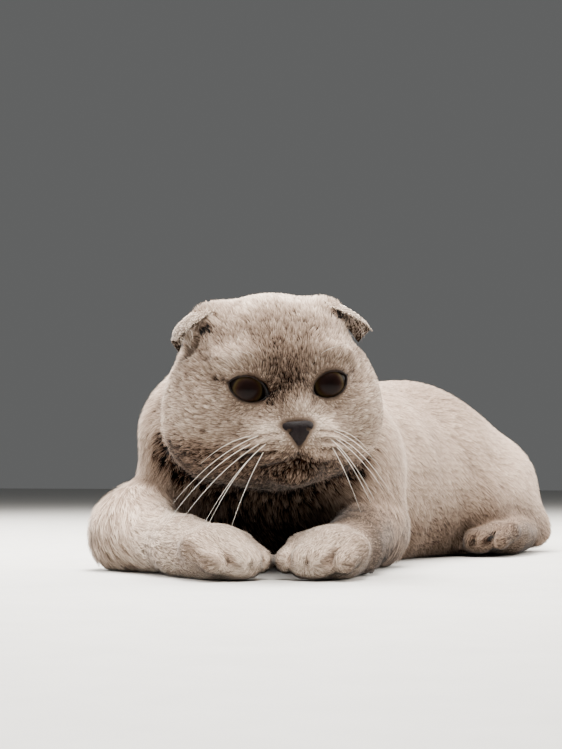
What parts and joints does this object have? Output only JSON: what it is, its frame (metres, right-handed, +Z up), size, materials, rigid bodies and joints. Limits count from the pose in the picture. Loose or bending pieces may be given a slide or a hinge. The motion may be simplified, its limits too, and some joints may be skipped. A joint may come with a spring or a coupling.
{
  "type": "scottish fold cat",
  "caption": "Life-size still model of a folded-ear cat with a plush taupe coat, lying on its belly with its head turned and both forepaws in front.",
  "frame": {"origin": "on the floor, midway along the cat's length and across its width", "axes": "+Z up, the spine runs along Y with the tail at +Y, the cat's left side is +X"},
  "size_m": [0.2379, 0.5105, 0.1443],
  "materials": {
    "coat": "short dense plush fur, warm taupe, paler on the muzzle",
    "nose": "bare skin, dark, slightly moist",
    "eyes": "clear wet gloss over a dark amber iris"
  },
  "bodies": {
    "root": {"head": "coat", "neck": "coat", "torso": "coat", "foreleg_left": "coat", "foreleg_right": "coat", "forepaw_left": "coat", "forepaw_right": "coat", "hindleg_left": "coat", "hindleg_right": "coat", "hindpaw_left": "coat", "hindpaw_right": "coat", "tail_base": "coat", "tail_middle": "coat", "tail_tip": "coat", "ear_left": "coat", "ear_right": "coat", "nose": "nose", "eye_left": "eyes", "eye_right": "eyes"}
  },
  "joints": []
}
